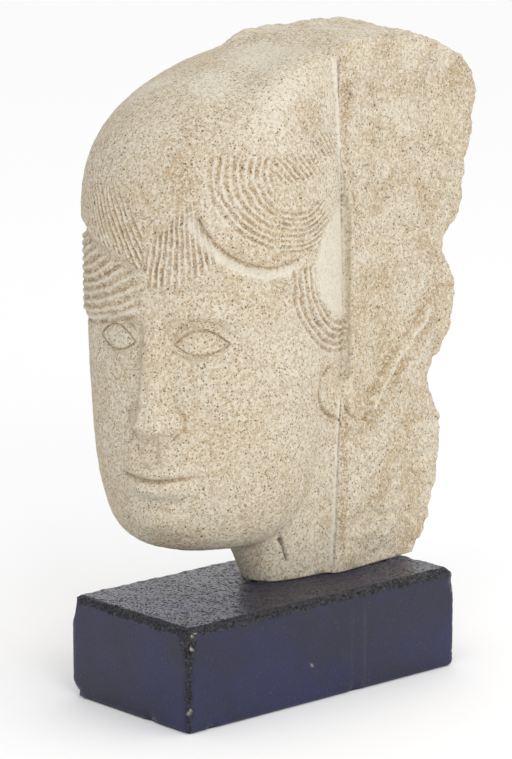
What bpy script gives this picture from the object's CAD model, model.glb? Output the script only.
import math

import bpy
import numpy as np
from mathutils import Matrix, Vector, noise
from mathutils.bvhtree import BVHTree


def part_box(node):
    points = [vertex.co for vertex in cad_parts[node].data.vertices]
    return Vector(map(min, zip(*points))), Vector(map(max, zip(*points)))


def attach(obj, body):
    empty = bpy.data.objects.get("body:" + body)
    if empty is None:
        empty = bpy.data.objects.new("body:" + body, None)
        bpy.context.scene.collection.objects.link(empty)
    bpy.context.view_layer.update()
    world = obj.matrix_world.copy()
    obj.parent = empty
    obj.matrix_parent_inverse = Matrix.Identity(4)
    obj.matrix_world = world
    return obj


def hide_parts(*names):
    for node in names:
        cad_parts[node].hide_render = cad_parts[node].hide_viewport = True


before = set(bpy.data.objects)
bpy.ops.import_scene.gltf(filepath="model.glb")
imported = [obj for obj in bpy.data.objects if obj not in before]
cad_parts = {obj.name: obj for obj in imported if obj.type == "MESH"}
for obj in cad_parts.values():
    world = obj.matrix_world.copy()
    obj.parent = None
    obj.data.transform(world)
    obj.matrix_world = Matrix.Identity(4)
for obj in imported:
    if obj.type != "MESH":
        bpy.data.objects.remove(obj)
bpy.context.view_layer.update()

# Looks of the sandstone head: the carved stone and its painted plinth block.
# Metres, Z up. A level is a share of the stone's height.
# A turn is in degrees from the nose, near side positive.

print("frame loaded")


# Small tools

def setMode(mode):
    bpy.ops.object.mode_set(mode=mode)


def deselectAll():
    bpy.ops.object.select_all(action='DESELECT')


def pick(piece):
    deselectAll()
    piece.select_set(True)
    bpy.context.view_layer.objects.active = piece


def editFaces(piece, chosen):
    # opens edit mode with only the chosen faces selected
    pick(piece)
    setMode('EDIT')
    bpy.ops.mesh.select_mode(type='FACE')
    bpy.ops.mesh.select_all(action='DESELECT')
    setMode('OBJECT')
    piece.data.polygons.foreach_set("select", chosen)
    setMode('EDIT')


def readVerts(piece, what="co"):
    values = np.empty(len(piece.data.vertices) * 3)
    piece.data.vertices.foreach_get(what, values)
    return values.reshape(-1, 3)


def writeVerts(piece, places):
    piece.data.vertices.foreach_set("co", places.ravel())
    piece.data.update()


def faceCentres(piece):
    values = np.empty(len(piece.data.polygons) * 3)
    piece.data.polygons.foreach_get("center", values)
    return values.reshape(-1, 3)


def storeMask(piece, name, values):
    layer = piece.data.attributes.new(name, 'FLOAT', 'POINT')
    layer.data.foreach_set("value", np.clip(values, 0.0, 1.0))


def applyModifier(piece, kind, name, **settings):
    pick(piece)
    made = piece.modifiers.new(name, kind)
    for key, value in settings.items():
        setattr(made, key, value)
    bpy.ops.object.modifier_apply(modifier=made.name)


def ramp(low, high, value):
    t = np.clip((value - low) / (high - low), 0.0, 1.0)
    return t * t * (3.0 - 2.0 * t)


def within(value, a, b, c, d):
    # 1 between b and c, fading to 0 at a and d
    return ramp(a, b, value) * ramp(d, c, value)


def bump(centre, reach, value):
    t = np.clip(1.0 - ((value - centre) / reach) ** 2, 0.0, 1.0)
    return t * t


def mound(across, up, halfWidth, halfHeight):
    t = np.clip(1.0 - (across / halfWidth) ** 2 - (up / halfHeight) ** 2, 0.0, 1.0)
    return t * t


def lumps(places, size, seed=0.0, stretch=(1.0, 1.0, 1.0)):
    # soft random relief between about -1 and 1, for each place
    shift = Vector((seed, 2.3 * seed, -1.7 * seed))
    scaled = places / (size * np.array(stretch))
    return np.array([noise.noise(Vector(p) + shift) for p in scaled])


def lineDistance(points, a, b):
    # distance of each place (a, b) from the line through the points
    nearest = np.full(a.shape, 1.0)
    for (a0, b0), (a1, b1) in zip(points, points[1:]):
        da, db = a1 - a0, b1 - b0
        t = np.clip(((a - a0) * da + (b - b0) * db) / (da * da + db * db), 0.0, 1.0)
        nearest = np.minimum(nearest, np.hypot(a - a0 - t * da, b - b0 - t * db))
    return nearest


# Sandstone head

stone = {
    "height": 0.304,
    "baseZ": 0.0583,
    "sunk": 0.03,                 # the volumes run on below the base, then are cut flat
    "wallY": 0.038,               # where the dressed head ends and the rough block begins
    "nearFace": 0.0195,
    "farFace": -0.062,
    "nearTaper": 0.1,
    "nearTuck": 0.003,
    "farTuck": 0.012,
    "baseRear": 0.1175,
    "backLean": 0.0395,
    "topCorner": 0.034,
    "topCornerLength": 0.058,
    "edgeLevel": 0.976,
    "nearDrop": 0.009,
    "backBites": ((0.53, 0.075, 0.012), (0.295, 0.08, 0.013), (0.12, 0.14, -0.0045),
                  (0.03, 0.08, 0.0015), (-0.01, 0.026, 0.0125)),
    "farReach": 0.016,            # the block's far side starts this much nearer the face
    "turn": 25.0,
    "centre": (-0.0387, -0.0038),
    "halfWidth": 0.069,
    "front": 0.083,
    "farTrim": -0.084,
    "farSlant": 0.2,
    "crown": (-0.02, 0.052),
    "roundCrown": 2.4,
    "squareNear": 4.5,
    "squareFar": 1.2,
    "widestLevel": 0.68,
    "chinLevel": 0.07,
    "jawSquareness": 6.5,
    "jawTaper": 0.12,
    "jawRise": 0.1,
    "neckCentre": (-0.008, 0.03),
    "neckHalfWidth": 0.024,
    "neckFront": 0.036,
    "neckFlare": 2.27,
    "neckTop": 0.355,
    "neckBack": 0.042,
    # beside the ear the wall stands further back, as a tall step: its low end, where it is full and its top
    "stepBack": 0.0102,
    "stepLevels": (0.357, 0.64, 0.82),
    "sideFill": (0.0061, -0.0012),
    "sideFillReach": 0.016,
    "topLean": 0.0025,
    "grain": 0.0024,              # spacing of the mesh before it is refined
    "triangles": 192000,          # kept after the carving, where the surface is flat fewer
}

forward = np.array((math.sin(math.radians(stone["turn"])), -math.cos(math.radians(stone["turn"])), 0.0))
sideways = np.array((-forward[1], forward[0], 0.0))
headCentre = np.array((*stone["centre"], 0.0))


def levelZ(share):
    return stone["baseZ"] + share * stone["height"]


def shareAt(z):
    return (z - stone["baseZ"]) / stone["height"]


def headForm():
    # a ball whose rings become the head's sections
    deselectAll()
    bpy.ops.mesh.primitive_uv_sphere_add(segments=144, ring_count=96, radius=1.0)
    head = bpy.context.active_object
    x, y, z = readVerts(head).T
    ring = np.maximum(np.hypot(x, y), 1e-6)
    wide = np.outer(x / ring * stone["halfWidth"], sideways)
    deep = np.outer(y / ring * stone["front"], forward)
    outline = headCentre + wide + deep
    nearWall = ramp(-stone["halfWidth"], stone["wallY"], outline[:, 1])
    corner = np.where(outline[:, 0] > headCentre[0], stone["squareNear"], stone["squareFar"])
    power = 2.0 / (stone["roundCrown"] + corner * nearWall)
    crown = np.array((*stone["crown"], 0.0))
    upper = crown + (outline - crown) * (ring ** power)[:, None]
    up = np.maximum(z, 0.0)
    upperLevel = stone["widestLevel"] + up ** power * (stone["edgeLevel"] - stone["widestLevel"])
    jaw = 2.0 / stone["jawSquareness"]
    drop = np.maximum(-z, 0.0) ** jaw
    narrow = wide * (1.0 - stone["jawTaper"] * drop ** 2)[:, None] + deep * (1.0 - 0.04 * drop)[:, None]
    lower = headCentre + narrow * (ring ** jaw)[:, None]
    back = ramp(0.03, -0.07, (lower - headCentre) @ forward)
    fall = stone["widestLevel"] - stone["chinLevel"] - stone["jawRise"] * back
    lowerLevel = stone["widestLevel"] - drop * fall
    places = np.where(z[:, None] >= 0.0, upper, lower)
    trim = stone["farTrim"] + stone["farSlant"] * (places[:, 1] + stone["front"])
    places[:, 2] = levelZ(np.where(z >= 0.0, upperLevel, lowerLevel))
    fill = np.where(places[:, 0] > headCentre[0], sideFill(places[:, 1], places[:, 2]), 0.0)
    places[:, 0] = np.maximum(places[:, 0] + fill, trim)
    writeVerts(head, places)
    return head


def sideFill(y, z):
    # beside the ear the dressed side is fuller than the egg low down, and flatter above
    low, full, high = (levelZ(at) for at in stone["stepLevels"])
    beside = ramp(low - 0.008, low + 0.014, z) * ramp(high, full, z)
    reach = ramp(stone["wallY"] - stone["sideFillReach"], stone["wallY"] + stone["stepBack"], y)
    return np.interp(z, (low, full), stone["sideFill"]) * beside * reach


headShape = []


def keepHead(head):
    # the plain head, kept to ask how far its near side stands out
    headShape.append(BVHTree.FromObject(head, bpy.context.evaluated_depsgraph_get()))


def headSide(y, z):
    found = np.full(len(y), -1.0)
    for k in np.nonzero((y > 0.02) & (y < 0.065) & (z > levelZ(0.25)) & (z < levelZ(0.9)))[0]:
        spot = headShape[0].ray_cast(Vector((1.0, y[k], z[k])), Vector((-1.0, 0.0, 0.0)))[0]
        if spot is not None:
            found[k] = spot.x
    return found


def tucked(z):
    return ramp(levelZ(0.35), levelZ(0.0), z)


def nearFace(y, z):
    return stone["nearFace"] - stone["nearTuck"] * tucked(z) - stone["nearTaper"] * (y - stone["wallY"])


def besideEar(z):
    low, full, high = (levelZ(at) for at in stone["stepLevels"])
    return ramp(low - 0.002, low + 0.002, z) * ramp(high, full, z)


def wallAt(z):
    lean = stone["topLean"] * ramp(levelZ(0.7), levelZ(0.86), z)
    return stone["wallY"] + stone["stepBack"] * besideEar(z) - lean


def blockForm():
    # a cube cut into a grid, then drawn out to the rough block's profile
    deselectAll()
    bpy.ops.mesh.primitive_cube_add(size=2.0)
    block = bpy.context.active_object
    setMode('EDIT')
    bpy.ops.mesh.subdivide(number_cuts=80)
    setMode('OBJECT')
    across, along, up = ((readVerts(block) + 1.0) / 2.0).T
    bottom = stone["baseZ"] - stone["sunk"]
    topShare = 1.0 - stone["topCorner"] / stone["height"]
    share = (bottom + up * (levelZ(topShare) - bottom) - stone["baseZ"]) / stone["height"]
    share = np.maximum(share, 0.0)
    lean = share / topShare
    bites = sum(depth * bump(at, reach, share) for at, reach, depth in stone["backBites"])
    backY = stone["baseRear"] + stone["backLean"] * lean - bites
    y = stone["wallY"] + along * (backY - stone["wallY"])
    topRear = stone["baseRear"] + stone["backLean"]
    beyond = np.clip((y - topRear + stone["topCornerLength"]) / stone["topCornerLength"], 0.0, 1.0)
    corner = levelZ(topShare) + stone["topCorner"] * np.sqrt(1.0 - beyond ** 2)
    rise = levelZ(np.interp(y - stone["wallY"], (0.0, 0.009, 0.024), (stone["edgeLevel"], 0.992, 1.0)))
    z = bottom + up * (np.minimum(corner, rise) - bottom)
    front = np.maximum(1.0 - (y - stone["wallY"]) / stone["topCornerLength"], 0.0)
    back = (y - stone["wallY"]) / (topRear - stone["wallY"])
    z -= stone["nearDrop"] * across * back * ramp(levelZ(0.7), levelZ(1.0), z)
    nearer = (1.0 - across) * stone["farReach"] * ramp(levelZ(0.8), levelZ(0.92), z)
    y = y + (across * (wallAt(z) - stone["wallY"]) - nearer) * front
    nearSide = nearFace(y, z)
    farSide = stone["farFace"] + stone["farTuck"] * tucked(z)
    writeVerts(block, np.stack((farSide + across * (nearSide - farSide), y, z), axis=1))
    return block


def neckForm():
    deselectAll()
    bottom, top = stone["baseZ"] - stone["sunk"], levelZ(stone["neckTop"])
    sunkRadius = 1.0 - (stone["neckFlare"] - 1.0) * stone["sunk"] / (stone["neckTop"] * stone["height"])
    bpy.ops.mesh.primitive_cone_add(vertices=96, radius1=sunkRadius, radius2=stone["neckFlare"],
                                    depth=top - bottom)
    neck = bpy.context.active_object
    x, y, z = readVerts(neck).T
    z = z + (top + bottom) / 2.0
    y = np.minimum(stone["neckCentre"][1] + y * stone["neckFront"], stone["neckBack"])
    x = np.minimum(stone["neckCentre"][0] + x * stone["neckHalfWidth"], nearFace(stone["wallY"], z))
    writeVerts(neck, np.stack((x, y, z), axis=1))
    return neck


hair = {
    "swell": 0.0022,              # the hair stands proud of the skin
    "line": ((-90.0, 0.5), (-40.0, 0.497), (-3.0, 0.572), (20.0, 0.58), (32.0, 0.64), (60.0, 0.56),
             (90.0, 0.455)),
    "strokeDepth": 0.0015,
    "strokeSpacing": 0.0033,
    "topSpacing": 0.004,
    "earSpacing": 0.0038,
    "farSpacing": 0.0044,
    "slantSpacing": 0.0034,
    "fringeSpacing": 0.0036,
    "borderDepth": 0.0024,
    "borderSlope": 0.0056,
    # a lock's rings: turn and level of their centre, metres a radian, outer radius
    "templeLock": (50.2, 0.745, 0.071, 0.0419),
    "templeRings": (63.0, 0.777, 0.06, 0.045),
    "earLock": (109.0, 0.593, 0.061, 0.0545),
    "farLock": (-58.0, 0.66, 0.0364, 0.056),
    "fringeRoot": (12.0, 0.9),
    "fringeEnd": ((0.0, 0.578), (11.0, 0.582), (24.0, 0.622)),
    "slant": 0.45,
    "valleyLevel": 0.655,
    "valleyDepth": 0.003,
}

face = {
    "browLevel": 0.53,
    "noseLevel": 0.31,
    "eyeWidth": 0.36,             # share of the head's half width
    "socketDepth": 0.0066,
    "eyeRise": 0.0054,
    "lidRise": 0.0018,
    "noseRoot": (0.0068, 0.003),
    "noseTip": (0.0124, 0.014),
    "mouthReach": 0.0215,
    "lipRise": (0.0046, 0.0056),
    "chinRise": 0.0042,
}

marks = {
    # lines on the near side, as Y and Z
    "lobe": ((0.0285, 0.1794), (0.0198, 0.1744), (0.018, 0.1679), (0.0198, 0.1618), (0.0246, 0.1555),
             (0.0318, 0.1509), (0.0372, 0.1477), (0.0415, 0.1465)),
    "earFoot": ((0.043, 0.155), (0.0485, 0.1483), (0.054, 0.1452), (0.0608, 0.1445), (0.0656, 0.149)),
    "earBack": ((0.0656, 0.149), (0.0753, 0.162), (0.0887, 0.1773), (0.0982, 0.1833), (0.116, 0.1993)),
    "crack": ((0.0011, 0.0833), (0.0035, 0.0801), (0.0051, 0.0755), (0.0074, 0.0703)),
    # height or depth of each line's relief, half width
    "lobeCut": (0.0019, 0.0015),
    "footCut": (0.0018, 0.0018),
    "backRise": (0.0016, 0.0028),
    "backCut": (0.0012, 0.0024),
    "crackDepth": 0.003,
    "crackWidth": ((0.07, 0.08, 0.084), (0.0006, 0.0011, 0.0022)),    # by Z
    # pits in the rough block: Y, Z, radius, depth
    "pits": ((0.0428, 0.3325, 0.0017, 0.0018), (0.0456, 0.3302, 0.0015, 0.0016),
             (0.0446, 0.3275, 0.0012, 0.0014), (0.0592, 0.2891, 0.0014, 0.0016),
             (0.0673, 0.3218, 0.0012, 0.0012), (0.0457, 0.3073, 0.0012, 0.0012),
             (0.0594, 0.2766, 0.0012, 0.0014), (0.0716, 0.065, 0.0016, 0.0014)),
}


def faceRelief(u, z):
    # how far the calm, even face stands forward of the egg, and its cut lines
    brow, nose = levelZ(face["browLevel"]), levelZ(face["noseLevel"])
    unit = brow - nose
    chin = levelZ(stone["chinLevel"])
    eye = brow - 0.25 * unit
    mouth = nose - (nose - chin) / 3.0
    eyeWidth = face["eyeWidth"] * stone["halfWidth"]
    side = np.abs(u)

    # sockets, brows and lidded eyes
    arch = brow - 0.08 * unit * ((side - eyeWidth) / eyeWidth) ** 2
    relief = -face["socketDepth"] * mound(side - 1.02 * eyeWidth, z - eye - 0.02 * unit,
                                          0.95 * eyeWidth, 0.27 * unit)
    relief += 0.0024 * bump(0.0, 0.1 * unit, z - arch) * ramp(2.2, 1.4, side / eyeWidth)
    across = (side - eyeWidth) / (0.56 * eyeWidth)
    almond = np.clip(1.0 - across ** 2, 0.0, 1.0)
    upperLid = eye + 0.13 * unit * almond
    lowerLid = eye - 0.095 * unit * almond
    relief += face["eyeRise"] * mound(side - eyeWidth, z - eye, 0.66 * eyeWidth, 0.19 * unit) ** 0.7
    openEye = ramp(1.04, 0.85, np.abs(across))
    lids = bump(0.0013, 0.0019, z - upperLid) + 0.8 * bump(-0.0011, 0.0017, z - lowerLid)
    relief += face["lidRise"] * lids * openEye
    seam = bump(-0.0007, 0.001, z - upperLid) + bump(0.0006, 0.0009, z - lowerLid)
    relief -= 0.0013 * seam * openEye
    fold = bump(0.0052, 0.0011, z - upperLid) * ramp(1.1, 0.8, np.abs(across))
    relief -= 0.0009 * fold

    # nose with its wings and nostrils
    run = np.clip((brow - z) / unit, 0.0, 1.0)
    half = face["noseRoot"][0] + (face["noseTip"][0] - face["noseRoot"][0]) * run
    rise = face["noseRoot"][1] + (face["noseTip"][1] - face["noseRoot"][1]) * run ** 1.15
    upper = ramp(brow + 0.1 * unit, brow - 0.2 * unit, z)
    under = ramp(nose - 0.05 * unit, nose + 0.06 * unit, z)
    relief += rise * (1.0 - ramp(0.3, 0.95, side / half)) * upper * under
    relief += 0.005 * mound(side - 0.0098, z - nose - 0.11 * unit, 0.0072, 0.13 * unit)
    wing = np.abs(np.hypot((side - 0.0098) / 0.0068, (z - nose - 0.11 * unit) / (0.13 * unit)) - 1.0)
    relief -= 0.0011 * ramp(0.28, 0.0, wing) * ramp(0.009, 0.0115, side)
    relief -= 0.0022 * mound(side - 0.0055, z - nose - 0.012 * unit, 0.003, 0.045 * unit)

    # channel under the nose, lips on the round of the jaw, dip above the chin
    relief += 0.0036 * mound(u, z - mouth, 0.036, 0.5 * unit)
    relief -= 0.0016 * bump(0.0, 0.0042, u) * within(z, mouth + 0.008, mouth + 0.012, nose - 0.006, nose)
    reach = face["mouthReach"]
    openLine = mouth - 0.0008 * np.cos(side / reach * math.pi)
    taper = np.clip(1.0 - (side / reach) ** 2, 0.0, 1.0)
    relief += face["lipRise"][0] * bump(0.0042, 0.0062, z - openLine) * taper ** 0.8
    relief += face["lipRise"][1] * bump(-0.0056, 0.008, z - openLine) * taper ** 1.2
    relief -= 0.0022 * bump(0.0, 0.0017, z - openLine) * ramp(1.08, 0.85, side / reach)
    relief -= 0.0014 * mound(side - 1.05 * reach, z - mouth + 0.0005, 0.004, 0.0045)
    relief -= 0.002 * mound(u, z - mouth + 0.24 * unit, 0.02, 0.11 * unit)
    relief += face["chinRise"] * mound(u, z - chin - 0.3 * unit, 0.026, 0.26 * unit)
    cut = 0.8 * np.clip(seam * openEye + 0.6 * fold, 0.0, 1.0)
    cut = np.maximum(cut, bump(0.0, 0.0018, z - openLine) * ramp(1.08, 0.85, side / reach))
    cut = np.maximum(cut, 0.6 * ramp(0.28, 0.0, wing) * ramp(0.009, 0.0115, side))
    return relief, cut


def ridge(size, distance, at=0.0):
    return size[0] * bump(at, size[1], distance)


def lockDistance(turn, z, lock):
    at, height, scale, _ = lock
    return np.hypot(np.radians(turn - at) * scale, z - levelZ(height))


def hairRelief(places, turn, share):
    # hand cut strokes: returns depth, groove mask and smooth band mask
    z = places[:, 2]
    depth, groove, smooth = (np.zeros(len(z)) for _ in range(3))
    wobble = 0.0008 * lumps(places, 0.01, 3.1) + 0.0003 * lumps(places, 0.0035, 4.1)
    strength = 0.78 + 0.75 * lumps(places, 0.0055, 8.4)

    def strokes(distance, spacing, where, deeper=1.0):
        wave = 0.5 + 0.5 * np.cos(2.0 * math.pi * (distance + wobble) / spacing)
        cut = wave ** 1.2 * where * np.clip(strength, 0.25, 1.2)
        depth[:] = np.maximum(depth, hair["strokeDepth"] * deeper * cut)
        groove[:] = np.maximum(groove, cut)
        smooth[:] = np.maximum(smooth, 0.75 * (1.0 - wave) ** 2.5 * where)

    # temple lock: border with a smooth slope outside, rings inside
    radius = hair["templeLock"][3]
    away = lockDistance(turn, z, hair["templeLock"]) + 0.4 * wobble
    swept = ramp(66.0, 58.0, turn) * ramp(0.725, 0.695, share)
    slope = ramp(radius + hair["borderSlope"], radius, away) * (away > radius)
    edge = ramp(radius - 0.0016, radius, away) * (away <= radius)
    border = hair["borderDepth"] * (slope + edge) * swept
    smooth[:] = np.maximum(smooth, ramp(radius + 0.0006, radius + 0.0018, away)
                           * ramp(radius + 0.007, radius + 0.005, away) * swept)
    groove[:] = np.maximum(groove, bump(radius - 0.0002, 0.0011, away) * swept)
    away = lockDistance(turn, z, hair["templeRings"])
    radius = hair["templeRings"][3]
    rings = ramp(radius + 0.0002, radius - 0.001, away) * ramp(0.815, 0.8, share)
    leftSide = ramp(0.011, 0.015, away) * ramp(52.0, 46.0, turn)
    below = ramp(0.022, 0.024, away) * within(turn, 50.0, 55.0, 82.0, 86.0) * ramp(0.72, 0.708, share)
    strokes(away, hair["strokeSpacing"], rings * leftSide, 0.8)
    strokes(away, 0.9 * hair["strokeSpacing"], rings * below)

    # short slanting strokes at the top of the temple lock
    slanted = np.radians(turn) * 0.062 + 0.85 * z
    patch = within(turn, 45.0, 49.0, 73.0, 77.0) * within(share, 0.752, 0.762, 0.798, 0.808)
    strokes(slanted, hair["topSpacing"], patch * (1.0 - below), 0.8)
    patch = within(turn, 70.0, 73.0, 93.0, 96.0) * within(share, 0.79, 0.797, 0.832, 0.842)
    strokes(slanted, hair["topSpacing"], patch, 1.1)

    # ear lock
    away = lockDistance(turn, z, hair["earLock"])
    radius = hair["earLock"][3]
    inner = radius - 0.0205 + 0.0035 * ramp(95.0, 70.0, turn)
    quarter = ramp(inner, inner + 0.001, away) * ramp(radius, radius - 0.001, away)
    quarter *= ramp(0.602, 0.594, share) * ramp(60.0, 58.0, turn - 55.0)
    strokes(away - 0.052, hair["earSpacing"], quarter, 1.15)
    smooth[:] = np.maximum(smooth, 0.8 * ramp(inner, inner - 0.002, away) * ramp(0.71, 0.69, share))

    # valley over the far lock, the far lock's own rings under it
    edge = levelZ(hair["valleyLevel"]) - 0.0004 * np.clip(turn + 45.0, 0.0, 45.0)
    valley = hair["valleyDepth"] * bump(0.0, 0.0062, z - edge) * ramp(-4.0, -10.0, turn)
    away = lockDistance(turn, z, hair["farLock"])
    under = ramp(edge - 0.001, edge - 0.003, z) * ramp(-4.0, -8.0, turn) * ramp(0.0545, 0.053, away)
    under *= 0.45 + 0.55 * ramp(-80.0, -55.0, turn)
    strokes(away, hair["farSpacing"], under, 1.1)
    smooth[:] = np.maximum(smooth, bump(0.05, 0.0022, away) * under)

    # slanting strokes over the valley
    slanted = np.radians(turn) * 0.075 + hair["slant"] * z
    top = np.interp(turn, (-60.0, -13.0, -1.0), (0.8, 0.735, 0.668))
    over = ramp(edge + 0.001, edge + 0.003, z) * ramp(top + 0.02, top - 0.01, share)
    over *= ramp(-1.0, -4.0, turn) * (0.45 + 0.55 * ramp(-80.0, -55.0, turn))
    strokes(slanted, hair["slantSpacing"], over, 0.9)

    # fringe: strokes that fan out from the parting
    down = levelZ(hair["fringeRoot"][1]) - z
    fan = np.radians(turn - hair["fringeRoot"][0]) * 0.075 / np.maximum(down, 0.01)
    right = np.interp(share, (0.627, 0.728), (24.5, 16.5))
    fringe = ramp(right + 0.8, right - 0.8, turn) * ramp(-3.0, -1.5, turn)
    top = np.interp(turn, (-2.0, 4.0, 17.0), (0.64, 0.675, 0.735))
    end = np.interp(turn, *zip(*hair["fringeEnd"])) + 1.5 * wobble
    long = ramp(end - 0.004, end + 0.004, share) * ramp(top + 0.012, top - 0.004, share)
    strokes(fan * 0.1, hair["fringeSpacing"], fringe * long)

    lineShare = np.interp(turn, *zip(*hair["line"]))
    swell = hair["swell"] * ramp(lineShare - 0.008, lineShare + 0.01, share) * ramp(0.95, 0.75, share)
    wall = wallAt(z)
    swell *= 1.0 - 0.9 * ramp(wall - 0.01, wall - 0.002, places[:, 1]) * besideEar(z) * (turn > 60.0)
    return swell - depth - border - valley, groove, smooth


# the rough block's relief: lumps, knocks (and more of them at the back), chips and chisel marks
chiselled = {
    "heights": (0.0014, 0.0009, 0.0006, 0.0008, 0.0006),
    "sizes": (0.02, 0.006, 0.0034, 0.0032),
}


def carveStone(piece):
    places = readVerts(piece)
    normals = readVerts(piece, "normal")
    x, y, z = places.T
    offset = places - headCentre
    u, v = offset @ sideways, offset @ forward
    turn = np.degrees(np.arctan2(u, v))
    share = shareAt(z)
    nearSide = x > stone["farFace"] / 2.0
    wallY = np.where(nearSide, wallAt(z), stone["wallY"])
    dressed = np.where(nearSide, y < wallY - 0.0003, y < wallY + 0.01)
    facesNear = nearSide & (normals[:, 0] > 0.3)
    moved = places.copy()

    # face
    frontal = ramp(72.0, 48.0, np.abs(turn)) * ramp(0.0, 0.3, normals @ forward)
    frontal *= ramp(levelZ(0.1), levelZ(0.14), z) * ramp(levelZ(0.62), levelZ(0.58), z)
    relief, faceCut = faceRelief(u, z)
    moved += np.outer(relief * frontal, forward)

    # hair
    depth, groove, smooth = (np.zeros(len(z)) for _ in range(3))
    where = np.nonzero(dressed & (share > 0.4) & (share < 0.97))[0]
    depth[where], groove[where], smooth[where] = hairRelief(places[where], turn[where], share[where])
    groove = np.maximum(groove, faceCut * frontal)

    # lobe, tooled line along the wall, the ear's lines on the rough block, crack in the neck, pits
    lobe = lineDistance(marks["lobe"], y, z)
    onDressed = facesNear & (y < wallY + 0.001)
    depth -= ridge(marks["lobeCut"], lobe) * onDressed
    groove += 1.2 * bump(0.0, 0.0014, lobe) * onDressed
    inLobe = mound(y - 0.033, z - 0.166, 0.0135, 0.016) * onDressed
    depth += 0.0006 * np.sqrt(inLobe)
    # pale dressed strip along the wall: broad above the step, thin below it, with a dark line at its back
    upper = ramp(0.6, 0.7, share) * ramp(0.968, 0.955, share)
    strip = ramp(wallY - 0.0046, wallY - 0.0036, y) * ramp(wallY + 0.0001, wallY - 0.0007, y) * upper
    lower = ramp(0.345, 0.325, share) * ramp(0.0, 0.02, share)
    strip = np.maximum(strip, bump(wallY - 0.0006, 0.0016, y) * lower) * facesNear
    depth += 0.0004 * strip
    smooth = np.maximum(smooth, strip)
    nearWall = nearSide & (np.abs(y - wallY) < 0.008) & (share > 0.35) & (share < 0.8)
    tall = np.full(len(z), 0.0)
    foot, brink = np.full(len(z), 1.0), np.full(len(z), 1.0)
    foot[nearWall], brink[nearWall] = stepFoot(z[nearWall]), nearFace(wallY[nearWall], z[nearWall])
    tall[nearWall] = ramp(0.0006, 0.002, (brink - foot)[nearWall]) * ramp(0.352, 0.362, share[nearWall])
    corner = ramp(0.0015, 0.0006, np.hypot(x - foot, y - wallY)) * tall
    stepFace = ramp(0.0012, 0.0006, np.abs(y - wallY)) * ramp(foot - 0.0005, foot + 0.0005, x) * tall
    line = bump(wallY + 0.0006, 0.001, y) * facesNear * np.clip(upper * (1.0 - tall) + 0.7 * lower, 0.0, 1.0)
    depth -= 0.0006 * line
    crease = np.maximum(0.85 * corner, 0.6 * line)
    onBlock = facesNear & (y > wallY + 0.003)
    earFoot = lineDistance(marks["earFoot"], y, z)
    rim = lineDistance(marks["earBack"], y, z)
    depth -= ridge(marks["footCut"], earFoot) * onBlock
    depth += ridge(marks["backRise"], rim) * onBlock
    depth -= ridge(marks["backCut"], rim, 0.004) * onBlock
    groove += 1.0 * bump(0.0, 0.0018, earFoot) * onBlock
    smooth = np.maximum(smooth, 0.8 * bump(0.0, 0.0018, rim) * onBlock)
    crack = lineDistance(marks["crack"], y, z)
    onNeck = facesNear & (share < 0.11) & (y < 0.02)
    cracked = bump(0.0, 1.0, crack / np.interp(z, *marks["crackWidth"]))
    depth -= marks["crackDepth"] * cracked * onNeck
    pitted = np.maximum(cracked * onNeck, crease)
    ragged = 0.0011 * lumps(places, 0.0028, 21.0)
    for pitY, pitZ, radius, deep in marks["pits"]:
        hole = mound(y - pitY + ragged, z - pitZ - ragged, radius, radius) * facesNear
        depth -= deep * np.sqrt(hole)
        pitted = np.maximum(pitted, hole)

    # the rough block: big lumps, chisel marks and small knocks
    rough = ramp(wallY + 0.0008, wallY + 0.004, y) * ramp(-0.01, 0.02, share)
    farther = np.clip((stone["nearFace"] - x) / (stone["nearFace"] - stone["farFace"]), 0.0, 1.0)
    topEdge = stone["wallY"] - stone["farReach"] * farther
    rough = np.maximum(rough, ramp(levelZ(0.956), levelZ(0.97), z) * ramp(topEdge - 0.006, topEdge, y))
    rough *= 1.0 - stepFace
    for mask, tone in ((smooth, 0.45), (groove, 0.2)):
        mask[:] = np.where(stepFace > 0.0, mask * (1.0 - stepFace) + tone * stepFace, mask)
    there = np.nonzero(rough > 0.0)[0]
    spots = places[there]
    lumpHeight, knockHeight, backKnock, chipHeight, chiselHeight = chiselled["heights"]
    lumpSize, knockSize, chipSize, chiselSize = chiselled["sizes"]
    knocks = lumpHeight * (lumps(spots, lumpSize) + 0.5 * lumps(spots, lumpSize / 2.3))
    atBack = ramp(0.07, 0.11, spots[:, 1])
    knocks += ((knockHeight + backKnock * atBack) * lumps(spots, knockSize, 5.0)
               + chipHeight * lumps(spots, chipSize, 6.0))
    knocks *= ramp(0.0, 0.01, spots[:, 1] - wallY[there]) * 0.6 + 0.4
    tooled = lumps(spots, chiselSize, 7.0, (1.0, 1.0, 9.0))
    knocks += chiselHeight * tooled * ramp(0.2, 0.45, share[there]) * ramp(0.85, 0.7, share[there])
    depth[there] += rough[there] * knocks

    # paler crown, browner streaks down it
    patchy = 0.5 + 0.9 * lumps(places, 0.022, 31.0)
    crownTone = 0.6 * ramp(0.78, 0.92, share) * np.clip(patchy, 0.0, 1.0)
    smooth = np.maximum(smooth, crownTone)
    streaks = bump(12.0, 9.0, turn) * ramp(0.69, 0.76, share) * ramp(0.91, 0.84, share)
    streaks += bump(72.0, 17.0, turn) * bump(0.87, 0.06, share)
    groove = np.maximum(groove, 0.6 * streaks * np.clip(patchy + 0.3, 0.0, 1.0))
    smooth *= 1.0 - 0.8 * np.clip(streaks, 0.0, 1.0)

    # a worn, slightly uneven surface everywhere else
    depth += 0.00022 * lumps(places, 0.005, 11.0) + 0.0003 * lumps(places, 0.016, 12.0)
    moved += normals * depth[:, None]
    moved[:, 2] = np.where(share < 0.004, z, np.maximum(moved[:, 2], stone["baseZ"]))
    writeVerts(piece, moved)
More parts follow.
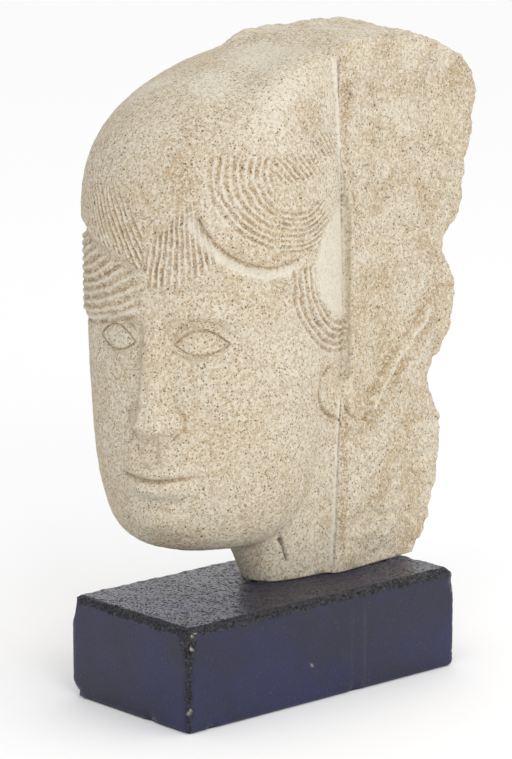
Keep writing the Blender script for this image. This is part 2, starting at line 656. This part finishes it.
    # browner stone beside the line, in the ear's hollow and under the top
    brownish = bump(wallY + 0.0045, 0.006, y) * (0.9 * lower + 0.7 * upper)
    brownish += 0.9 * bump(0.0065, 0.0055, rim) * (y > 0.06) + 0.7 * bump(0.9, 0.06, share)
    stained = rough * brownish * np.clip(0.7 + 1.2 * lumps(places, 0.009, 33.0), 0.0, 1.0)
    stained = np.maximum(stained, 1.2 * bump(0.0, 0.002, earFoot) * onBlock)
    storeMask(piece, "groove", np.clip(groove * (1.0 - rough), 0.0, 1.2) + stained)
    storeMask(piece, "smooth", smooth)
    storeMask(piece, "rough", rough)
    storeMask(piece, "pit", pitted)


def stayInside(piece, node):
    # keeps the finer surface inside the solid's own box
    low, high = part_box(node)
    writeVerts(piece, np.clip(readVerts(piece), np.array(low) + 1e-5, np.array(high) - 1e-5))


def stepFoot(z):
    # the dressed side's X where it runs into the wall, by height
    heights = np.linspace(levelZ(0.3), levelZ(0.86), 60)
    return np.interp(z, heights, headSide(wallAt(heights) - 0.0003, heights))


def cutStep(piece):
    # draws the skin round the tall step onto its crisp outline: dressed side, step face, rough block's face
    places = readVerts(piece)
    share = shareAt(places[:, 2])
    near = places[:, 0] > stone["farFace"] / 2.0
    picked = np.nonzero(near & (np.abs(places[:, 1] - wallAt(places[:, 2])) < 0.011)
                        & (share > 0.362) & (share < 0.8))[0]
    x, y, z = places[picked].T
    share = share[picked]
    wall, foot = wallAt(z), stepFoot(z)
    brink = nearFace(wall, z)
    onSide = np.stack((np.where(y < wall, headSide(y, z), foot), np.minimum(y, wall)), axis=1)
    onFace = np.stack((np.clip(x, foot, brink), wall), axis=1)
    onBlock = np.stack((nearFace(np.maximum(y, wall), z), np.maximum(y, wall)), axis=1)
    choices = np.stack((onSide, onFace, onBlock))
    away = np.linalg.norm(choices - np.stack((x, y), axis=1), axis=2)
    nearest = choices[np.argmin(away, axis=0), np.arange(len(x))]
    weight = ramp(0.011, 0.007, np.abs(y - wall)) * ramp(0.0006, 0.002, brink - foot)
    weight *= ramp(0.364, 0.372, share) * ramp(0.0055, 0.004, np.min(away, axis=0))
    places[picked, 0] += (nearest[:, 0] - x) * weight
    places[picked, 1] += (nearest[:, 1] - y) * weight
    writeVerts(piece, places)


# where the mesh is refined once, then again where strokes are cut: open ranges of turn, level, X, Y,
# distance from the face's middle plane, distance ahead of the head's centre and distance from the wall
wideZones = ({"turn": (-80.0, 112.0), "share": (0.08, 2.0)},
             {"x": (-0.02, 1.0), "y": (0.0, 1.0), "share": (0.01, 2.0)})
finestZones = (
    {"turn": (-72.0, 108.0), "share": (0.57, 0.81), "y": (-1.0, 0.04)},
    {"turn": (40.0, 108.0), "share": (0.565, 0.81), "y": (-1.0, 0.04)},
    {"turn": (52.0, 112.0), "share": (0.415, 0.6), "y": (-1.0, 0.045)},
    {"turn": (-75.0, -6.0), "share": (0.5, 0.6)},
    {"side": (-1.0, 0.046), "share": (0.44, 0.53), "ahead": (0.0, 1.0)},
    {"side": (-1.0, 0.027), "share": (0.19, 0.36), "ahead": (0.0, 1.0)},
    {"x": (-0.02, 1.0), "y": (0.014, 0.047), "share": (0.27, 0.41)},
    {"x": (-0.02, 1.0), "y": (0.0, 1.0), "wall": (-1.0, 0.006), "share": (0.34, 0.8)},
)


def zoneFaces(centres, zones):
    offset = centres - headCentre
    u, v = offset @ sideways, offset @ forward
    x, y, z = centres.T
    known = {"turn": np.degrees(np.arctan2(u, v)), "share": shareAt(z),
             "x": x, "y": y, "side": np.abs(u), "ahead": v, "wall": np.abs(y - wallAt(z))}
    chosen = np.zeros(len(centres), bool)
    for zone in zones:
        inside = [(known[key] > low) & (known[key] < high) for key, (low, high) in zone.items()]
        chosen |= np.all(inside, axis=0)
    return chosen


def makeStone():
    volumes = [headForm(), blockForm(), neckForm()]
    keepHead(volumes[0])
    deselectAll()
    for volume in volumes:
        volume.select_set(True)
    bpy.context.view_layer.objects.active = volumes[0]
    bpy.ops.object.join()
    piece = bpy.context.active_object
    piece.name = "carved_stone"
    applyModifier(piece, 'REMESH', "oneSkin", mode='VOXEL', voxel_size=stone["grain"])
    applyModifier(piece, 'SMOOTH', "soft", factor=0.5, iterations=6)
    pick(piece)
    setMode('EDIT')
    bpy.ops.mesh.select_all(action='SELECT')
    bpy.ops.mesh.bisect(plane_co=(0.0, 0.0, stone["baseZ"]), plane_no=(0.0, 0.0, -1.0), use_fill=True,
                        clear_outer=True)
    setMode('OBJECT')
    print("stone formed", len(piece.data.polygons), "faces")

    for zones in (wideZones, finestZones):
        chosen = zoneFaces(faceCentres(piece), zones)
        editFaces(piece, chosen)
        bpy.ops.mesh.subdivide(number_cuts=1)
        setMode('OBJECT')
        applyModifier(piece, 'SMOOTH', "soft", factor=0.5, iterations=2)
    places = readVerts(piece)
    places[:, 2] = np.where(places[:, 2] < stone["baseZ"] + 0.0006, stone["baseZ"], places[:, 2])
    writeVerts(piece, places)
    cutStep(piece)
    carveStone(piece)
    fine = sum(len(polygon.vertices) - 2 for polygon in piece.data.polygons)
    applyModifier(piece, 'DECIMATE', "leaner", ratio=min(stone["triangles"] / fine, 1.0))
    stayInside(piece, "sandstone_head")
    pick(piece)
    bpy.ops.object.shade_smooth()
    triangles = sum(len(polygon.vertices) - 2 for polygon in piece.data.polygons)
    print("stone carved", triangles, "triangles")
    return piece


# Plinth

plinth = {
    "length": 0.2,
    "width": 0.1,
    "height": 0.058,
    "chamfer": 0.004,
    "corner": 0.003,
    "grain": 0.0016,              # spacing of the mesh, finer within this of the upper edge
    "edgeBand": 0.0075,
    "edgeReach": 0.0085,
    # wear, on the photographed end and corner, then elsewhere
    "endWear": (0.0048, 0.0015),
    "cornerWear": (0.0022, 0.001),
    "pitDepth": 0.0016,
    "sideWaves": 0.00018,
    "topDents": 0.0004,
    "chipDepth": 0.0004,
    "seams": (0.0205, 0.0298),    # faint upright lines in the paint, as Y
    "seamWidth": 0.0009,
    # knocks on the edges: place, radius, depth
    "knocks": (((0.05, -0.095, 0.056), 0.0055, 0.0016), ((0.05, -0.0985, 0.0455), 0.004, 0.0012),
               ((0.05, -0.099, 0.03), 0.003, 0.0009), ((0.05, -0.0995, 0.012), 0.0035, 0.001),
               ((0.018, -0.1, 0.001), 0.006, 0.0015), ((-0.05, -0.1, 0.0), 0.0095, 0.0045),
               ((0.05, -0.083, 0.0008), 0.0045, 0.0014), ((0.05, 0.022, 0.0008), 0.005, 0.0014),
               ((0.05, 0.0985, 0.05), 0.0045, 0.0014), ((-0.05, 0.04, 0.056), 0.005, 0.0014),
               ((-0.05, 0.099, 0.02), 0.0045, 0.0014)),
    # places where the paint is chipped to the pale block: place, radius
    "chips": (((0.0495, -0.0935, 0.0562), 0.0015), ((0.0492, -0.0955, 0.054), 0.0014),
              ((0.049, -0.0965, 0.047), 0.0014), ((0.05, -0.0975, 0.043), 0.0008),
              ((0.05, -0.099, 0.034), 0.0008), ((0.0492, -0.0992, 0.021), 0.0008),
              ((0.05, -0.0985, 0.013), 0.0013), ((0.049, -0.0996, 0.012), 0.0011),
              ((0.05, -0.0992, 0.005), 0.0009), ((0.05, -0.0053, 0.0288), 0.0006),
              ((0.05, -0.0097, 0.0216), 0.0008), ((0.0053, -0.1, 0.0222), 0.0006),
              ((0.0178, -0.1, 0.001), 0.001), ((0.05, -0.0828, 0.0008), 0.001),
              ((0.0495, 0.098, 0.0449), 0.0012), ((0.049, 0.099, 0.054), 0.0012),
              ((-0.045, -0.0985, 0.003), 0.0009)),
}


def makePlinth():
    size = (plinth["width"], plinth["length"], plinth["height"])
    deselectAll()
    bpy.ops.mesh.primitive_cube_add(size=1.0, location=(0.0, 0.0, size[2] / 2.0), scale=size)
    piece = bpy.context.active_object
    piece.name = "painted_block"
    bpy.ops.object.transform_apply(location=True, rotation=True, scale=True)
    setMode('EDIT')
    bpy.ops.mesh.select_all(action='SELECT')
    bpy.ops.mesh.bevel(offset=plinth["corner"] * 0.6, segments=2, profile=0.5)
    setMode('OBJECT')
    applyModifier(piece, 'REMESH', "evenGrid", mode='VOXEL', voxel_size=plinth["grain"])
    applyModifier(piece, 'SMOOTH', "soft", factor=0.5, iterations=3)

    # finer faces along the worn upper edge
    centres = faceCentres(piece)
    inset = np.minimum(size[0] / 2.0 - np.abs(centres[:, 0]), size[1] / 2.0 - np.abs(centres[:, 1]))
    down = size[2] - centres[:, 2]
    band = plinth["edgeBand"]
    editFaces(piece, (inset + down < plinth["edgeReach"]) & (inset < band) & (down < band))
    bpy.ops.mesh.subdivide(number_cuts=1)
    setMode('OBJECT')

    places = readVerts(piece)
    normals = readVerts(piece, "normal")
    x, y, z = places.T
    inset = np.minimum(size[0] / 2.0 - np.abs(x), size[1] / 2.0 - np.abs(y))
    down = size[2] - z
    uneven = 0.0009 * lumps(places, 0.009, 2.0) + 0.0006 * lumps(places, 0.004, 4.0)
    corner = size[0] / 2.0 - np.abs(x) + size[1] / 2.0 - np.abs(y)
    nearCorner = (x > 0.0) & (y < 0.0)
    widening = np.where(y < 0.0, *plinth["endWear"]) * ramp(0.02, 0.002, down)
    upright = np.where(nearCorner, *plinth["cornerWear"]) + widening + 0.7 * uneven - corner
    over = np.maximum(plinth["chamfer"] + uneven - inset - down, upright)
    cut = np.maximum(over, 0.0)
    worn = ramp(-0.0012, 0.0004, over)
    places -= normals * (0.72 * cut)[:, None]
    pitting = np.clip(lumps(places, 0.0021, 6.0) - 0.05, 0.0, 1.0)
    pitting += 0.6 * np.clip(lumps(places, 0.0045, 9.0), 0.0, 1.0)
    shortEnd = y < -0.5 * size[1] + 0.006
    pitting *= np.where(shortEnd & (x < 0.5 * size[0] - 0.008), 0.25, 1.0)
    sink = plinth["pitDepth"] * pitting * worn
    sides = ramp(0.0, 0.004, down) * ramp(0.0, 0.003, z)
    sink += plinth["sideWaves"] * (0.5 + 0.5 * lumps(places, 0.018, 13.0)) * sides
    onTop = ramp(0.0012, 0.0, down) * (1.0 - worn)
    sink += plinth["topDents"] * np.clip(lumps(places, 0.0046, 15.0) - 0.25, 0.0, 1.0) * onTop
    for at, radius, deep in plinth["knocks"]:
        gap = np.linalg.norm(places - np.array(at), axis=1) * (1.0 + 0.25 * lumps(places, 0.003, 21.0))
        sink += deep * bump(0.0, radius, gap)
    chipped = np.zeros(len(z))
    for at, radius in plinth["chips"]:
        gap = np.linalg.norm(places - np.array(at), axis=1) * (1.0 + 0.5 * lumps(places, 0.0016, 25.0))
        chipped = np.maximum(chipped, ramp(radius, 0.6 * radius, gap))
    sink += plinth["chipDepth"] * chipped
    seam = np.zeros(len(z))
    for at in plinth["seams"]:
        seam += bump(at, plinth["seamWidth"], y) * (x > 0.0) * ramp(0.052, 0.04, z)
    places -= normals * sink[:, None]
    flat = readVerts(piece)
    places[:, 2] = np.where(flat[:, 2] < 0.0004, flat[:, 2], places[:, 2])
    writeVerts(piece, places)
    storeMask(piece, "worn", worn)
    storeMask(piece, "chipped", chipped)
    storeMask(piece, "seam", seam)
    stayInside(piece, "plinth")
    pick(piece)
    bpy.ops.object.shade_smooth()
    print("plinth made", len(piece.data.polygons), "faces")
    return piece


# Finishes

def groupNodes(name, inputs, outputs):
    # an empty shader group with a vector, the value inputs and the named outputs
    group = bpy.data.node_groups.new(name, 'ShaderNodeTree')
    group.interface.new_socket("Vector", in_out='INPUT', socket_type='NodeSocketVector')
    for label, value in inputs:
        made = group.interface.new_socket(label, in_out='INPUT', socket_type='NodeSocketFloat')
        made.default_value = value
    for label in outputs:
        group.interface.new_socket(label, in_out='OUTPUT', socket_type='NodeSocketFloat')
    return group, group.nodes.new("NodeGroupInput"), group.nodes.new("NodeGroupOutput")


def link(tree, source, target):
    tree.links.new(source, target)


def feed(tree, socket, value):
    # a number or a colour is set, an output is linked
    if isinstance(value, (int, float)):
        socket.default_value = value
    elif isinstance(value, tuple):
        socket.default_value = (*value, 1.0)
    else:
        link(tree, value, socket)


def mathNode(tree, operation, first, second, clamp=False):
    node = tree.nodes.new("ShaderNodeMath")
    node.operation = operation
    node.use_clamp = clamp
    for socket, value in zip(node.inputs, (first, second)):
        feed(tree, socket, value)
    return node.outputs[0]


def times(tree, first, second, clamp=False):
    return mathNode(tree, 'MULTIPLY', first, second, clamp)


def rangeNode(tree, value, low, high, newLow=0.0, newHigh=1.0):
    node = tree.nodes.new("ShaderNodeMapRange")
    node.interpolation_type = 'SMOOTHSTEP'
    link(tree, value, node.inputs["Value"])
    for label, number in (("From Min", low), ("From Max", high), ("To Min", newLow), ("To Max", newHigh)):
        feed(tree, node.inputs[label], number)
    return node.outputs[0]


def mixColour(tree, factor, first, second, blend='MIX'):
    node = tree.nodes.new("ShaderNodeMix")
    node.data_type = 'RGBA'
    node.blend_type = blend
    for index, value in ((0, factor), (6, first), (7, second)):
        feed(tree, node.inputs[index], value)
    return node.outputs[2]


def noiseNode(tree, vector, scale, detail=2.0, roughness=0.5):
    node = tree.nodes.new("ShaderNodeTexNoise")
    node.inputs["Detail"].default_value = detail
    node.inputs["Roughness"].default_value = roughness
    link(tree, vector, node.inputs["Vector"])
    feed(tree, node.inputs["Scale"], scale)
    return node.outputs["Fac"]


def makeGrainGroup():
    # fine grains and scattered dark pits, shared by the stone and the block
    group, start, end = groupNodes(
        "stoneGrain",
        (("Grain Scale", 900.0), ("Pit Scale", 300.0), ("Pit Share", 0.3), ("Pit Size", 0.3)),
        ("Grain", "Tone", "Pits", "Height"))
    grain = noiseNode(group, start.outputs["Vector"], start.outputs["Grain Scale"], 3.0, 0.7)
    cells = group.nodes.new("ShaderNodeTexVoronoi")
    link(group, start.outputs["Vector"], cells.inputs["Vector"])
    link(group, start.outputs["Pit Scale"], cells.inputs["Scale"])
    tint = group.nodes.new("ShaderNodeSeparateColor")
    link(group, cells.outputs["Color"], tint.inputs[0])
    picked = mathNode(group, 'LESS_THAN', tint.outputs[0], start.outputs["Pit Share"])
    size = times(group, mathNode(group, 'ADD', tint.outputs[1], 0.5), start.outputs["Pit Size"])
    uneven = times(group, mathNode(group, 'SUBTRACT', grain, 0.5), 0.5)
    ragged = mathNode(group, 'ADD', cells.outputs["Distance"], uneven)
    inside = rangeNode(group, mathNode(group, 'SUBTRACT', ragged, size), 0.05, -0.05)
    pits = times(group, inside, picked)
    height = mathNode(group, 'SUBTRACT', grain, times(group, pits, 1.2))
    for source, target in zip((grain, tint.outputs[2], pits, height), end.inputs):
        link(group, source, target)
    return group


def makeStainGroup():
    # slow drifts of tone with a fine broken edge, for stains, dust and uneven paint
    group, start, end = groupNodes("slowStain", (("Scale", 30.0), ("Low", 0.45), ("High", 0.65)), ("Stain",))
    broad = noiseNode(group, start.outputs["Vector"], start.outputs["Scale"], 4.0, 0.62)
    link(group, rangeNode(group, broad, start.outputs["Low"], start.outputs["High"]), end.inputs["Stain"])
    return group


grainGroup = makeGrainGroup()
stainGroup = makeStainGroup()


def placeGroup(tree, group, vector, *values):
    # the values follow the group's inputs after its vector
    node = tree.nodes.new("ShaderNodeGroup")
    node.node_tree = group
    link(tree, vector, node.inputs[0])
    for socket, value in zip(node.inputs[1:], values):
        socket.default_value = value
    return node


def attributeNode(tree, name):
    node = tree.nodes.new("ShaderNodeAttribute")
    node.attribute_name = name
    return node.outputs["Fac"]


def bumpNode(tree, height, strength, distance, normal=None):
    node = tree.nodes.new("ShaderNodeBump")
    node.inputs["Strength"].default_value = strength
    node.inputs["Distance"].default_value = distance
    link(tree, height, node.inputs["Height"])
    if normal is not None:
        link(tree, normal, node.inputs["Normal"])
    return node.outputs["Normal"]


def newMaterial(name):
    made = bpy.data.materials.new(name)
    made.use_nodes = True
    tree = made.node_tree
    vector = tree.nodes.new("ShaderNodeTexCoord").outputs["Object"]
    return made, tree, tree.nodes["Principled BSDF"], vector


sandstone = {
    "warm": (0.555, 0.465, 0.33),
    "pale": (0.625, 0.565, 0.45),
    "tan": (0.42, 0.31, 0.18),
    "ochre": (0.4, 0.275, 0.135),
    "cut": (0.37, 0.262, 0.145),
    "brown": (0.165, 0.11, 0.065),
    "pit": (0.062, 0.042, 0.028),
    "cream": (0.73, 0.68, 0.57),
    # grain scale, pit scale, share of cells pitted, pit size
    "fine": (1700.0, 900.0, 0.36, 0.32),
    "coarse": (420.0, 430.0, 0.16, 0.18),
    # scale, low and high end
    "drift": (22.0, 0.35, 0.7),
    "stain": (48.0, 0.44, 0.66),
    # bump strength and depth
    "fineBump": (0.4, 0.0004),
    "coarseBump": (0.3, 0.0006),
}


def sandstoneFinish():
    made, tree, shader, vector = newMaterial("sandstoneFinish")
    groove, smooth, rough, pit = (attributeNode(tree, name) for name in ("groove", "smooth", "rough", "pit"))
    fine = placeGroup(tree, grainGroup, vector, *sandstone["fine"])
    coarse = placeGroup(tree, grainGroup, vector, *sandstone["coarse"])
    drift = placeGroup(tree, stainGroup, vector, *sandstone["drift"])
    stain = placeGroup(tree, stainGroup, vector, *sandstone["stain"])

    colour = mixColour(tree, drift.outputs["Stain"], sandstone["pale"], sandstone["warm"])
    roughStain = times(tree, stain.outputs["Stain"], rangeNode(tree, rough, 0.0, 1.0, 0.15, 0.6))
    colour = mixColour(tree, roughStain, colour, sandstone["tan"])
    colour = mixColour(tree, times(tree, groove, 0.85, clamp=True), colour, sandstone["cut"])
    colour = mixColour(tree, times(tree, smooth, 0.8), colour, sandstone["cream"])

    # grain by grain tone: cream, ochre and brown specks
    keep = rangeNode(tree, smooth, 0.0, 1.0, 1.0, 0.3)
    tone = mathNode(tree, 'ADD', times(tree, fine.outputs["Grain"], 1.2),
                    times(tree, fine.outputs["Tone"], 0.8))
    lightGrain = rangeNode(tree, tone, 1.04, 1.3, 0.0, 0.6)
    colour = mixColour(tree, lightGrain, colour, sandstone["cream"])
    ochreDepth = mathNode(tree, 'ADD', times(tree, groove, 0.4), 0.5, clamp=True)
    ochreGrain = times(tree, rangeNode(tree, tone, 0.98, 0.7), times(tree, keep, ochreDepth))
    colour = mixColour(tree, ochreGrain, colour, sandstone["ochre"])
    finePits = times(tree, times(tree, fine.outputs["Pits"], 0.8), keep)
    colour = mixColour(tree, finePits, colour, sandstone["brown"])
    bigPits = times(tree, times(tree, coarse.outputs["Pits"], 0.8), keep)
    colour = mixColour(tree, bigPits, colour, sandstone["pit"])
    colour = mixColour(tree, pit, colour, sandstone["pit"])
    link(tree, colour, shader.inputs["Base Color"])

    link(tree, rangeNode(tree, fine.outputs["Grain"], 0.3, 0.7, 0.82, 0.97), shader.inputs["Roughness"])
    shader.inputs["Specular IOR Level"].default_value = 0.25
    first = bumpNode(tree, fine.outputs["Height"], *sandstone["fineBump"])
    both = bumpNode(tree, coarse.outputs["Height"], *sandstone["coarseBump"], first)
    link(tree, both, shader.inputs["Normal"])
    return made


paint = {
    "navy": (0.007, 0.0078, 0.03),
    "blue": (0.0085, 0.0088, 0.06),
    "black": (0.0035, 0.0035, 0.008),
    "dust": (0.15, 0.145, 0.145),
    "chip": (0.47, 0.42, 0.32),
    # numbers as for the sandstone
    "grain": (760.0, 640.0, 0.72, 0.4),
    "specks": (900.0, 640.0, 0.07, 0.12),
    "drift": (26.0, 0.35, 0.72),
    "bump": (1.0, 0.0008),
}


def paintFinish():
    made, tree, shader, vector = newMaterial("paintedBlockFinish")
    worn, chipped, seam = (attributeNode(tree, name) for name in ("worn", "chipped", "seam"))
    grain = placeGroup(tree, grainGroup, vector, *paint["grain"])
    drift = placeGroup(tree, stainGroup, vector, *paint["drift"])
    specks = placeGroup(tree, grainGroup, vector, *paint["specks"])

    geometry = tree.nodes.new("ShaderNodeNewGeometry")
    facing = tree.nodes.new("ShaderNodeSeparateXYZ")
    link(tree, geometry.outputs["Normal"], facing.inputs[0])
    top = rangeNode(tree, facing.outputs["Z"], 0.85, 0.97)
    colour = mixColour(tree, drift.outputs["Stain"], paint["navy"], paint["blue"])
    colour = mixColour(tree, times(tree, worn, 0.9), colour, paint["black"])
    pitted = times(tree, grain.outputs["Pits"], mathNode(tree, 'MAXIMUM', top, worn))
    colour = mixColour(tree, pitted, colour, paint["black"])
    dusty = times(tree, rangeNode(tree, grain.outputs["Grain"], 0.55, 0.75), top)
    colour = mixColour(tree, times(tree, dusty, 0.6), colour, paint["dust"])
    glint = times(tree, rangeNode(tree, grain.outputs["Grain"], 0.56, 0.64), worn)
    colour = mixColour(tree, times(tree, glint, 0.5), colour, paint["dust"])
    colour = mixColour(tree, times(tree, seam, 0.12), colour, paint["dust"])
    colour = mixColour(tree, times(tree, specks.outputs["Pits"], 0.22), colour, paint["chip"])
    colour = mixColour(tree, chipped, colour, paint["chip"])
    link(tree, colour, shader.inputs["Base Color"])

    sideGloss = rangeNode(tree, grain.outputs["Grain"], 0.3, 0.7, 0.34, 0.46)
    gloss = mathNode(tree, 'SUBTRACT', sideGloss, times(tree, top, 0.29))
    dull = mathNode(tree, 'MAXIMUM', chipped, pitted)
    gloss = mathNode(tree, 'ADD', gloss, times(tree, dull, 0.45))
    link(tree, gloss, shader.inputs["Roughness"])
    shader.inputs["Specular IOR Level"].default_value = 0.5
    relief = times(tree, grain.outputs["Height"],
                   rangeNode(tree, mathNode(tree, 'MAXIMUM', top, worn), 0.0, 1.0, 0.12, 1.0))
    link(tree, bumpNode(tree, relief, *paint["bump"]), shader.inputs["Normal"])
    return made


# Put together

carvedStone = makeStone()
carvedStone.data.materials.clear()
carvedStone.data.materials.append(sandstoneFinish())
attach(carvedStone, "root")
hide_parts("sandstone_head")

paintedBlock = makePlinth()
paintedBlock.data.materials.clear()
paintedBlock.data.materials.append(paintFinish())
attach(paintedBlock, "root")
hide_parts("plinth")
print("finishes laid on")


# Studio

studio = {
    "floorSize": 14.0,
    "floorTone": (0.985, 0.985, 0.985),
    "skyTone": (1.0, 1.0, 1.0),
    "skyStrength": 1.12,
    # the sky dims towards this side, well off to the left of the view
    "dimSide": (-0.67, -0.74, 0.05),
    "dimTone": (0.5, 0.5, 0.52),
    # place, aim, size, watts
    "lamps": (((2.0, -0.9, 1.3), (0.0, 0.0, 0.2), 0.9, 11.0), ((0.6, -1.2, 2.6), (0.0, 0.0, 0.2), 0.9, 4.0)),
    "eye": (1.41376, -1.26685, 0.57075),
    "azimuth": 48.3,
    "elevation": 11.83,
    "lens": 166.0,
}


def setStudio():
    deselectAll()
    bpy.ops.mesh.primitive_plane_add(size=studio["floorSize"])
    floor = bpy.context.active_object
    floor.name = "studio_floor"
    made, _, shader, _ = newMaterial("paleFloor")
    shader.inputs["Base Color"].default_value = (*studio["floorTone"], 1.0)
    shader.inputs["Roughness"].default_value = 0.9
    floor.data.materials.append(made)

    world = bpy.data.worlds.new("paleSky")
    bpy.context.scene.world = world
    world.use_nodes = True
    tree = world.node_tree
    sky = tree.nodes["Background"]
    sky.inputs["Strength"].default_value = studio["skyStrength"]
    aside = tree.nodes.new("ShaderNodeVectorMath")
    aside.operation = 'DOT_PRODUCT'
    aside.inputs[1].default_value = studio["dimSide"]
    direction = tree.nodes.new("ShaderNodeTexCoord").outputs["Generated"]
    link(tree, direction, aside.inputs[0])
    dim = rangeNode(tree, aside.outputs["Value"], 0.05, 0.75)
    link(tree, mixColour(tree, dim, studio["skyTone"], studio["dimTone"]), sky.inputs["Color"])

    for index, (place, aim, size, watts) in enumerate(studio["lamps"]):
        lamp = bpy.data.lights.new("softLamp%d" % index, 'AREA')
        lamp.size = size
        lamp.energy = watts
        holder = bpy.data.objects.new(lamp.name, lamp)
        bpy.context.scene.collection.objects.link(holder)
        holder.location = place
        holder.rotation_euler = (Vector(aim) - Vector(place)).to_track_quat('-Z', 'Y').to_euler()

    lens = bpy.data.cameras.new("photoCamera")
    lens.lens = studio["lens"]
    lens.clip_end = 50.0
    camera = bpy.data.objects.new("photoCamera", lens)
    bpy.context.scene.collection.objects.link(camera)
    camera.location = studio["eye"]
    camera.rotation_euler = (math.radians(90.0 - studio["elevation"]), 0.0, math.radians(studio["azimuth"]))
    bpy.context.scene.camera = camera
    bpy.context.scene.view_settings.view_transform = 'Standard'
    print("studio set")


setStudio()
